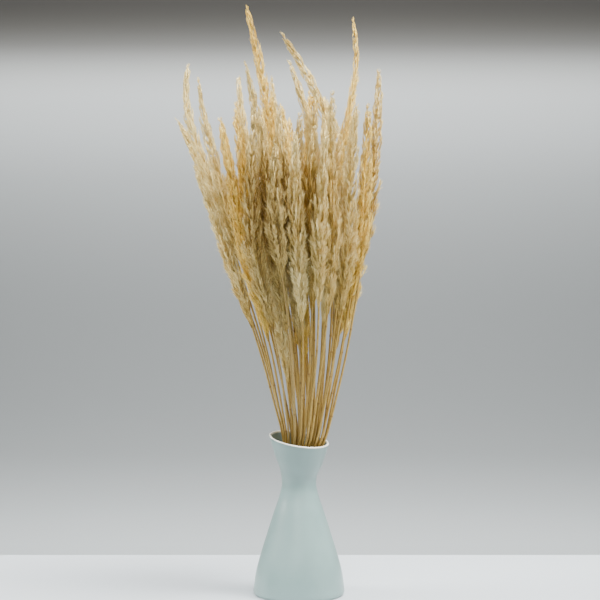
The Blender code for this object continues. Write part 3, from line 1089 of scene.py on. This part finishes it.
@dataclass
class Culm:
    """A reed's bare stem, on up through its plume as the stalk the branches grow from."""

    foot: float = 0.0065
    foot_radius: float = 0.0016
    neck_radius: float = 0.0012
    tip_radius: float = 0.00028
    tip_taper: float = 2.5
    tip_gap: float = 0.005  # how far below the reed's tip its taper ends
    tip_point: float = 0.004  # how far above that it comes to a point
    sides: int = 8
    step: float = 0.011
    closest: float = 0.0002  # no two rings are nearer than this
    first_joint: float = 0.100
    joint_gap: float = 0.105
    neck_gap: float = 0.010  # no joint is nearer below the plume
    joint_rings: tuple[float, ...] = (-0.0016, -0.0006, 0.0, 0.0006, 0.0016)
    joint_width: float = 0.0011
    joint_swell: float = 0.22
    joint_shade: float = 0.85
    map_margins: tuple[float, float] = (0.003, 0.015)

    def build(self, reed: Reed, draw: np.random.Generator, workshop: Workshop) -> bpy.types.Object:
        """Builds the stem as one tapering tube with its joints.

        Args:
            reed: The reed it belongs to.
            draw: The reed's own random numbers.
            workshop: Where its finish comes from.

        Returns:
            The stem.
        """
        end = reed.tip - self.tip_gap
        lowest = self.first_joint + draw.uniform(0.0, self.joint_gap)
        joints = np.arange(lowest, reed.neck - self.neck_gap, self.joint_gap)
        plain = np.arange(self.foot, end, self.step)
        heights = np.sort(np.concatenate([plain, *(joints + away for away in self.joint_rings)]))
        heights = heights[np.concatenate([[True], np.diff(heights) > self.closest])]
        below = self.foot_radius + (self.neck_radius - self.foot_radius) * heights / reed.neck
        left = np.clip((end - heights) / (end - reed.neck), 0.0, 1.0)
        above = self.tip_radius + (self.neck_radius - self.tip_radius) * left**self.tip_taper
        nearest = np.abs(heights[:, None] - joints[None]).min(axis=1, initial=1.0)  # far, if it has none
        swell = np.exp(-((nearest / self.joint_width) ** 2))
        radii = np.where(heights < reed.neck, below, above) * (1 + self.joint_swell * swell)
        middle = reed.point(heights)
        rings = middle[:, None] + radii[:, None, None] * ring_directions(reed.ahead(heights), self.sides)
        surface = Surface(reed.name + "_culm")
        surface.add_tube(
            rings,
            np.array([middle[0], reed.point(end + self.tip_point)]),
            (heights - heights[0]) / (heights[-1] - heights[0]),
            self.map_margins,
            joint=np.pad(self.joint_shade * swell, 1),
        )
        stem = place(reed.name + "_culm", surface.mesh(), workshop.culms[reed.straw])
        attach(stem, "root")
        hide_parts(reed.name)
        return stem


@dataclass
class Spikelets:
    """A plume's spikelets as they grow, one a row."""

    owner: np.ndarray  # the branch
    hair: np.ndarray  # whether it is a mere hair
    root: np.ndarray
    tip: np.ndarray
    width: np.ndarray
    share: np.ndarray  # the root's place along the plume
    depth: np.ndarray  # the root's distance from the stalk, as a share of the plume's radius
    wave: np.ndarray  # -1 to 1, between tufts and in them


@dataclass
class Plume:
    """A reed's panicle: branches in whorls along its stalk, each clad in upright spikelets."""

    whorls: int = 28
    fullness: tuple[float, float] = (0.70, 1.10)  # of a whorl, as a share of the outline
    branches: tuple[int, int] = (4, 6)  # in a whorl
    branch_steps: int = 4
    long_branch: float = 0.050  # at the plume's foot
    short_branch: float = 0.012  # at its tip
    shortening: float = 0.8
    branch_sizes: tuple[float, float] = (0.55, 1.10)
    low_branches: tuple[float, float, float] = (0.75, 0.25, 0.15)  # size at the very foot, gain, over a share
    root_jitter: float = 0.004
    bare_tip: float = 0.010
    least_branch: float = 0.005
    angle_jitter: float = 0.35
    one_sided: float = 0.15
    branch_reach: tuple[float, float] = (0.74, 1.02)
    branch_curve: float = 0.85
    swirl: float = 0.4
    branch_radius: float = 0.00020
    branch_taper: float = 0.5
    branch_angles: tuple[float, float, float] = (0.0, 2.094, 4.189)  # a third of a turn apart

    spikelet: float = 0.0092
    half_width: float = 0.00049
    spikelet_sizes: tuple[float, float] = (0.75, 1.20)
    shorter_up: float = 0.35
    slimmer_up: float = 0.20
    belly: float = 0.40  # the widest place, as a share of the length
    belly_tone: float = 0.42  # that place along the tint from root to tip
    fold: float = 0.5
    spacing: float = 0.00041
    fewest: int = 6
    usual_plump: float = 0.0130
    crowding: float = 0.9
    inner_share: float = 0.38
    inner_reach: float = 0.32
    inner_width: float = 1.35
    outer_reach: tuple[float, float, float] = (0.15, 0.85, 0.75)  # from where, over what, to what power
    with_branch: float = 0.15
    hair_share: float = 0.28
    hair_length: float = 1.25
    hair_width: float = 0.50
    ruffled: tuple[float, float] = (0.15, 0.55)  # share up to which it is ruffled, and over what it ends
    looseness: tuple[float, float] = (0.26, 0.40)  # of spikelets, and of hairs
    looser: float = 0.8  # gain where it is ruffled
    outwardness: tuple[float, float] = (0.20, 0.50)  # of spikelets, and of hairs
    farther_out: float = 1.0  # gain where it is ruffled
    spill: tuple[float, float] = (1.20, 1.42)  # how far spikelets, and hairs, may reach, in plume radii
    spill_sizes: tuple[float, float] = (0.70, 1.10)
    slim_tip: tuple[float, float] = (0.72, 3.5)  # how much less that is at the tip, and how late
    slim_foot: tuple[float, float, float] = (0.45, 0.55, 0.24)  # size at the foot, gain, over a share
    tuft: float = 0.026  # height from one tuft to the next
    tuft_depth: float = 0.26
    under_tip: float = 0.020  # the topmost spikelets end up to this far below the reed's tip
    least_rise: float = 0.002

    core_share: float = 0.20  # its radius, as a share of the plume's
    core_span: tuple[float, float] = (0.03, 0.96)
    core_powers: tuple[float, float] = (0.6, 0.3)  # how low its middle lies, and how blunt its ends are
    core_rough: tuple[float, float] = (0.70, 1.15)
    core_end: float = 0.004
    core_rings: int = 26
    core_sides: int = 7

    tone: float = 0.64
    tone_stray: float = 0.20  # from reed to reed
    branch_stray: float = 0.06  # from branch to branch
    spikelet_stray: float = 0.03  # from spikelet to spikelet
    stray_up: float = 3.0  # gain at the plume's tip
    thin_from: tuple[float, float] = (0.009, 0.004)  # radius of a thin plume, and over what that ends
    # painted light on thin plumes, which let more light through
    thin_painted_light: float = 0.16
    thin_even: float = 0.6
    full_light: tuple[float, float] = (0.25, 0.9)  # how much, and the fullness at which it is none
    stalk_dark: float = 0.08
    core_light: float = 0.9
    depth_painted_shade: tuple[float, float] = (0.32, 0.60)  # painted shade near the stalk, painted light outside: how much, and the depth at which it is none
    # paler towards the tips, and painted light high up where the plume is less shaded
    upper_pale_and_painted_light: float = 0.52
    # painted shade in the recesses between tufts, painted light on the tufts
    tuft_painted_shade: float = 0.06
    hair_light: float = 0.04
    # painted shade in the bunch's sheltered middle
    shelter_shade_dark: float = 0.78
    top_dark: float = 0.42
    top_from: tuple[float, float] = (0.61, 0.06)  # height from which it is darker, and over what height

    def branch_lines(
        self, reed: Reed, draw: np.random.Generator
    ) -> tuple[np.ndarray, np.ndarray, np.ndarray]:
        """Draws the branches, each as points from the stalk out and up to its tip.

        Args:
            reed: The reed.
            draw: The reed's own random numbers.

        Returns:
            The points (branch, step, xyz), each branch's length, and each branch's fullness.
        """
        steps = np.linspace(0.0, 1.0, self.branch_steps)
        lines, lengths, fullness = [], [], []
        heavy_side = draw.uniform(0, 2 * math.pi)
        low_size, low_more, low_over = self.low_branches
        for number in range(self.whorls):
            share = number / self.whorls
            turn = draw.uniform(0, 2 * math.pi)
            here = int(draw.integers(self.branches[0], self.branches[1] + 1))
            full = draw.uniform(*self.fullness)
            for k in range(here):
                size = self.long_branch + (self.short_branch - self.long_branch) * share**self.shortening
                low = low_size + low_more * min(share / low_over, 1.0)
                size *= draw.uniform(*self.branch_sizes) * low
                start = share * reed.length + draw.uniform(-self.root_jitter, self.root_jitter)
                size = max(min(size, reed.length - start - self.bare_tip), self.least_branch)
                angle = turn + 2 * math.pi * k / here + draw.uniform(-self.angle_jitter, self.angle_jitter)
                one_side = 1.0 + self.one_sided * math.cos(angle - heavy_side)
                z = reed.neck + start + size * steps
                out = reed.panicle_radius(reed.share(z)) * np.sin(steps * math.pi / 2) ** self.branch_curve
                out = out * full * one_side * draw.uniform(*self.branch_reach)
                first, second = across(reed.ahead(z))
                swirl = angle + steps * draw.uniform(-self.swirl, self.swirl)
                away = first * np.cos(swirl)[:, None] + second * np.sin(swirl)[:, None]
                lines.append(reed.point(z) + away * out[:, None])
                lengths.append(size)
                fullness.append(full)
        return np.array(lines), np.array(lengths), np.array(fullness)

    def column(self, tone: np.ndarray) -> np.ndarray:
        """Gives the palette column of each tone, the first or last one for a tone below 0 or above 1."""
        return np.clip((tone * PALETTE_COLUMNS).astype(int), 0, PALETTE_COLUMNS - 1)

    def rounded(self, column: np.ndarray) -> np.ndarray:
        """Gives the tone that a palette column stands for."""
        return (column + 0.5) / PALETTE_COLUMNS

    def palette_map(self, column: np.ndarray, spots: np.ndarray) -> np.ndarray:
        """Places parts of a plume in the strips of their tones.

        Args:
            column: Each part's strip.
            spots: The corners of one part's faces in a strip (face, corner, uv).

        Returns:
            The corners on the map (part, face, corner, uv).
        """
        uv = np.empty((len(column), *spots.shape))
        uv[..., 0] = (column[:, None, None] + spots[..., 0]) / PALETTE_COLUMNS
        uv[..., 1] = spots[..., 1]
        return uv

    def add_branches(self, surface: Surface, lines: np.ndarray, tone: np.ndarray) -> None:
        """Adds the branches' thin stalks, three-sided and pointed.

        Args:
            surface: Where to.
            lines: The branches' points.
            tone: Each branch's tone.
        """
        (count, steps), sides = lines.shape[:2], len(self.branch_angles)
        ahead = unit(np.gradient(lines, axis=1)).reshape(-1, 3)
        first, second = (part.reshape(count, steps, 3) for part in across(ahead))
        taper = self.branch_radius * np.linspace(1.0, self.branch_taper, steps)[None, :, None]
        rings = [lines + taper * (first * math.cos(a) + second * math.sin(a)) for a in self.branch_angles]
        points = np.stack(rings, axis=2)[:, :-1].reshape(count, -1, 3)
        points = np.concatenate([points, lines[:, -1:]], axis=1)
        faces, edges = [], ((0, 1), (1, 2), (2, 0))
        top, tip = (steps - 2) * sides, (steps - 1) * sides
        for low in range(0, top, sides):
            high = low + sides
            for a, b in edges:
                faces += [(low + a, low + b, high + b), (low + a, high + b, high + a)]
        faces += [(top + a, top + b, tip) for a, b in edges] + [(0, 2, 1)]
        per = points.shape[1]
        numbers = np.array(faces)[None] + (np.arange(count) * per)[:, None, None]
        column = self.column(tone)
        surface.add(
            points.reshape(-1, 3),
            numbers.reshape(-1, 3),
            self.palette_map(column, np.tile(STALK_SPOTS, (len(faces), 1, 1))),
            tone=np.repeat(self.rounded(column), per),
            along=np.zeros(1),
        )

    def add_core(self, surface: Surface, reed: Reed, tone: float, draw: np.random.Generator) -> None:
        """Adds the plume's dense middle, a rough spindle of packed stalks that the spikelets hide.

        Args:
            surface: Where to.
            reed: The reed.
            tone: Its tone.
            draw: The reed's own random numbers.
        """
        shares = np.linspace(*self.core_span, self.core_rings)
        early, blunt = self.core_powers
        z = reed.neck + shares * reed.length
        radius = self.core_share * reed.panicle_radius(shares) * np.sin(math.pi * shares**early) ** blunt
        rough = draw.uniform(*self.core_rough, (self.core_rings, self.core_sides, 1))
        ring = ring_directions(reed.ahead(z), self.core_sides)
        points = (reed.point(z)[:, None] + radius[:, None, None] * rough * ring).reshape(-1, 3)
        ends = [reed.point(z[0] - self.core_end), reed.point(z[-1] + self.core_end)]
        quads, fans = tube_faces(self.core_rings, self.core_sides)
        faces = np.vstack([quads[:, :3], quads[:, (0, 2, 3)], fans])
        column = self.column(np.array([tone]))
        uv = self.palette_map(column, np.tile(STALK_SPOTS, (len(faces), 1, 1)))
        surface.add(np.vstack([points, *ends]), faces, uv, tone=self.rounded(column), along=np.zeros(1))

    def grow(
        self, reed: Reed, lines: np.ndarray, lengths: np.ndarray, draw: np.random.Generator
    ) -> Spikelets:
        """Grows the spikelets, each pointing up and out, and the finer hairs among them.

        Args:
            reed: The reed.
            lines: The branches' points.
            lengths: The branches' lengths.
            draw: The reed's own random numbers.

        Returns:
            The spikelets.
        """
        crowd = (reed.plump / self.usual_plump) ** self.crowding
        each = np.maximum((crowd * lengths / self.spacing).astype(int), self.fewest)
        owner = np.repeat(np.arange(len(lines)), each)
        count = len(owner)
        inner = draw.random(count) < self.inner_share
        near = draw.uniform(0.0, self.inner_reach, count)
        outer_from, outer_over, outer_power = self.outer_reach
        far = outer_from + outer_over * draw.random(count) ** outer_power
        last = lines.shape[1] - 1
        step = np.clip(np.where(inner, near, far) * last, 0, last - 1e-4)
        low = step.astype(int)
        part = (step - low)[:, None]
        root = lines[owner, low] * (1 - part) + lines[owner, low + 1] * part
        run = unit(lines[owner, low + 1] - lines[owner, low])
        share = reed.share(root[:, 2])
        middle, ahead = reed.point(root[:, 2]), reed.ahead(root[:, 2])
        away = unit(root - middle - ahead * ((root - middle) * ahead).sum(axis=1, keepdims=True) + 1e-9)
        hair = (draw.random(count) < self.hair_share) & ~inner
        ruffled = 1.0 - smooth_step(share, *self.ruffled)
        loose = np.where(hair, *self.looseness[::-1]) * (1.0 + self.looser * ruffled)
        outward = np.where(hair, *self.outwardness[::-1]) * (1.0 + self.farther_out * ruffled)
        stray = unit(draw.normal(size=root.shape)) * loose[:, None]
        aim = unit(ahead + self.with_branch * run + outward[:, None] * away + stray)
        size = self.spikelet * draw.uniform(*self.spikelet_sizes, count) * (1.0 - self.shorter_up * share)
        width = self.half_width * draw.uniform(*self.spikelet_sizes, count) * (1.0 - self.slimmer_up * share)
        width *= np.where(hair, self.hair_width, 1.0) * np.where(inner, self.inner_width, 1.0)
        tip = root + aim * (size * np.where(hair, self.hair_length, 1.0))[:, None]
        tip_share = reed.share(tip[:, 2])
        less, late = self.slim_tip
        foot, more, over = self.slim_foot
        limit = np.where(hair, *self.spill[::-1]) * reed.panicle_radius(tip_share)
        limit = limit * (1.0 - less * tip_share**late)
        limit *= draw.uniform(*self.spill_sizes, count) * (foot + more * smooth_step(tip_share, 0.0, over))
        turns = root[:, 2] / self.tuft + draw.uniform(0.0, 1.0)
        wave = np.sin(2 * math.pi * turns + np.arctan2(away[:, 1], away[:, 0]))
        limit *= 1.0 + self.tuft_depth * wave
        stalk = reed.point(tip[:, 2])
        spill = tip - stalk
        reach = np.linalg.norm(spill, axis=1)
        held = stalk + spill * (limit / np.maximum(reach, 1e-9))[:, None]
        tip = np.where((reach > limit)[:, None], held, tip)
        ceiling = reed.tip - self.under_tip * np.sqrt(draw.random(count))
        tip[:, 2] = np.maximum(np.minimum(tip[:, 2], ceiling), root[:, 2] + self.least_rise)
        radius = np.maximum(reed.panicle_radius(share), 1e-4)
        depth = np.clip(np.linalg.norm(root - middle, axis=1) / radius, 0, 1)
        return Spikelets(owner, hair, root, tip, width, share, depth, wave)

    def blades(self, grown: Spikelets, draw: np.random.Generator) -> np.ndarray:
        """Shapes the spikelets as slim folded husks.

        Args:
            grown: The spikelets.
            draw: The reed's own random numbers.

        Returns:
            Each one's root, two sides and tip.
        """
        first, second = across(unit(grown.tip - grown.root))
        spin = draw.uniform(0, 2 * math.pi, len(grown.root))[:, None]
        side = grown.width[:, None] * (first * np.cos(spin) + second * np.sin(spin))
        back = self.fold * grown.width[:, None] * (second * np.cos(spin) - first * np.sin(spin))
        belly = grown.root + (grown.tip - grown.root) * self.belly - back
        return np.stack([grown.root, belly - side, belly + side, grown.tip], axis=1)

    def shades(
        self, bunch: Bunch, grown: Spikelets, tone: np.ndarray, draw: np.random.Generator
    ) -> np.ndarray:
        """Gives the spikelets' tones, with painted light and shade: light outside and high up, painted shade in
        the bunch's sheltered middle.

        Args:
            bunch: The bunch the reed stands in.
            grown: The spikelets.
            tone: Each branch's tone.
            draw: The reed's own random numbers.

        Returns:
            The tones.
        """
        # painted shade deep in the plume and painted light on its outside; upper parts paler, partly as painted
        # light
        light, even = self.depth_painted_shade
        shade = tone[grown.owner] + light * (grown.depth - even) + self.upper_pale_and_painted_light * (grown.share - 0.5)
        stray = draw.normal(0, self.spikelet_stray, len(grown.owner))
        shade = shade + stray * (1.0 + self.stray_up * grown.share**2) + self.hair_light * grown.hair
        # painted shade between tufts, painted light on them
        shade += self.tuft_painted_shade * grown.wave
        # takes off the painted shade of the bunch's sheltered middle, and darkens the tops
        top = smooth_step(grown.root[:, 2], *self.top_from)
        return shade - (self.shelter_shade_dark * bunch.shelter_shade(grown.root) + self.top_dark * top)

    def build(
        self, reed: Reed, bunch: Bunch, draw: np.random.Generator, workshop: Workshop
    ) -> bpy.types.Object:
        """Builds the plume as one mesh of its core, its branches and their spikelets.

        Args:
            reed: The reed it belongs to.
            bunch: The bunch it stands in.
            draw: The reed's own random numbers.
            workshop: Where its finish comes from.

        Returns:
            The plume.
        """
        surface = Surface(reed.name + "_plume")
        lines, lengths, fullness = self.branch_lines(reed, draw)
        thin = 1.0 - smooth_step(reed.plump, *self.thin_from)
        stray = draw.uniform(-self.tone_stray, self.tone_stray)
        # thin plumes get painted light
        tone = self.tone + stray * (1.0 - self.thin_even * thin) + self.thin_painted_light * thin
        light, usual = self.full_light
        tone += light * (fullness - usual) + draw.normal(0, self.branch_stray, len(lines))
        self.add_core(surface, reed, min(tone.mean(), self.core_light), draw)
        self.add_branches(surface, lines, tone - self.stalk_dark)
        grown = self.grow(reed, lines, lengths, draw)
        points = self.blades(grown, draw)
        column = self.column(self.shades(bunch, grown, tone, draw))
        numbers = BLADE_FACES[None] + (np.arange(len(points)) * 4)[:, None, None]
        surface.add(
            points.reshape(-1, 3),
            numbers.reshape(-1, 3),
            self.palette_map(column, BLADE_SPOTS[BLADE_FACES]),
            tone=np.repeat(self.rounded(column), 4),
            along=np.tile([0.0, self.belly_tone, self.belly_tone, 1.0], len(points)),
        )
        plume = place(reed.name + "_plume", surface.mesh(), workshop.husks[reed.straw])
        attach(plume, "root")
        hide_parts(reed.name)
        return plume


@dataclass(frozen=True)
class Lamp:
    """A soft rectangular lamp of the setting."""

    name: str
    place: Point
    aim: Point
    size: tuple[float, float]
    power: float
    colour: Colour = (1.0, 1.0, 1.0)

    def hang(self) -> None:
        """Hangs the lamp and points it at its aim."""
        light = bpy.data.lights.new(self.name, "AREA")
        light.shape = "RECTANGLE"
        light.size, light.size_y = self.size
        light.energy = self.power
        light.color = self.colour
        lamp = bpy.data.objects.new(self.name, light)
        bpy.context.scene.collection.objects.link(lamp)
        lamp.location = self.place
        right, back, up = np.array(self.aim) - np.array(self.place)
        lamp.rotation_euler = (math.atan2(math.hypot(right, back), -up), 0.0, math.atan2(-right, back))


@dataclass
class Setting:
    """The table, the wall behind it, the light and the camera. None of it is part of the object."""

    table_back: float = 0.257
    table_front: float = -2.6
    table_half: float = 1.9
    table_thick: float = 0.03
    wall_back: float = 3.2
    wall_half: float = 5.0
    wall_top: float = 3.4
    wall_thick: float = 0.05
    room_floor: float = -1.0
    room_light: Colour = (0.94, 0.97, 1.0)
    room_strength: float = 0.17
    lamps: tuple[Lamp, ...] = (
        Lamp("left", (-1.0, 0.05, 0.95), (0.0, 0.0, 0.42), (0.6, 0.8), 25.5, (1.0, 0.99, 0.97)),
        Lamp("right", (0.78, -0.22, 1.3), (0.0, 0.0, 0.58), (0.6, 0.6), 36.5, (1.0, 0.99, 0.97)),
        Lamp("front", (-0.3, -2.4, 1.7), (0.0, 0.0, 0.50), (0.9, 0.9), 12.5, (1.0, 0.99, 0.97)),
        Lamp("top", (0.35, -0.3, 1.8), (0.0, 0.0, 0.6), (0.8, 0.6), 52.0, (1.0, 0.98, 0.95)),
        Lamp("wash", (0.0, 1.2, 2.6), (0.0, 3.2, 0.9), (3.0, 0.6), 145.0),
    )
    camera_place: Point = (0.0012, -1.700, 0.3564)
    lens: float = 84.0
    sensor: float = 36.0
    sight: float = 50.0

    def slab(self, name: str, low: Point, high: Point, material: bpy.types.Material) -> None:
        """Builds a plain block of the setting.

        Args:
            name: Its name.
            low: Its lowest corner.
            high: Its highest corner.
            material: Its finish.
        """
        corners = [(x, y, z) for z in (low[2], high[2]) for y in (low[1], high[1]) for x in (low[0], high[0])]
        faces = [(0, 2, 3, 1), (4, 5, 7, 6), (0, 1, 5, 4), (1, 3, 7, 5), (3, 2, 6, 7), (2, 0, 4, 6)]
        mesh = bpy.data.meshes.new(name)
        mesh.from_pydata(corners, [], faces)
        block = place(name, mesh, material)

    def build(self, workshop: Workshop) -> None:
        """Builds the table, the wall and the room's floor, and lights them.

        Args:
            workshop: Where their finishes come from.
        """
        table, wall = workshop.table(TableFinish()), workshop.wall(WallFinish())
        half, wide, back, floor = self.table_half, self.wall_half, self.wall_back, self.room_floor
        self.slab("table", (-half, self.table_front, -self.table_thick), (half, self.table_back, 0.0), table)
        self.slab("wall", (-wide, back, floor), (wide, back + self.wall_thick, self.wall_top), wall)
        self.slab("room_floor", (-wide, -wide, floor - self.wall_thick), (wide, back, floor), wall)
        for lamp in self.lamps:
            lamp.hang()
        world = bpy.data.worlds.new("room_light")
        world.use_nodes = True
        background = world.node_tree.nodes["Background"]
        background.inputs["Color"].default_value = (*self.room_light, 1.0)
        background.inputs["Strength"].default_value = self.room_strength
        bpy.context.scene.world = world

    def camera(self) -> None:
        """Places the camera level, at the height of the bunch's middle."""
        camera = bpy.data.cameras.new("camera")
        camera.sensor_width = self.sensor
        camera.lens = self.lens
        camera.clip_end = self.sight
        holder = bpy.data.objects.new("camera", camera)
        bpy.context.scene.collection.objects.link(holder)
        holder.location = self.camera_place
        holder.rotation_euler = (math.pi / 2, 0.0, 0.0)
        bpy.context.scene.camera = holder


def report(piece: bpy.types.Object) -> int:
    """Reports a finished piece.

    Args:
        piece: The piece.

    Returns:
        Its number of triangles.
    """
    triangles = sum(len(polygon.vertices) - 2 for polygon in piece.data.polygons)
    log.info("%s: %d triangles", piece.name, triangles)
    return triangles


def main() -> None:
    """Builds the setting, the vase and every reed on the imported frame."""
    logging.basicConfig(level=logging.INFO, format="%(name)s: %(message)s")
    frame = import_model()
    workshop = Workshop()
    setting = Setting()
    setting.camera()
    setting.build(workshop)
    vase = Vase()
    total = report(vase.build(workshop))
    bunch = Bunch(vase)
    reeds = bunch.plan()
    bunch.settle(reeds)
    culm, plume = Culm(), Plume()
    for number, reed in enumerate(reeds):
        if reed.name not in frame["nodes"]:
            raise ValueError(f"the frame has no {reed.name}")
        draw = np.random.default_rng([bunch.seed, number])
        total += report(culm.build(reed, draw, workshop))
        total += report(plume.build(reed, bunch, draw, workshop))
    log.info("the vase and %d reeds: %d triangles", len(reeds), total)


if __name__ == "__main__":
    main()
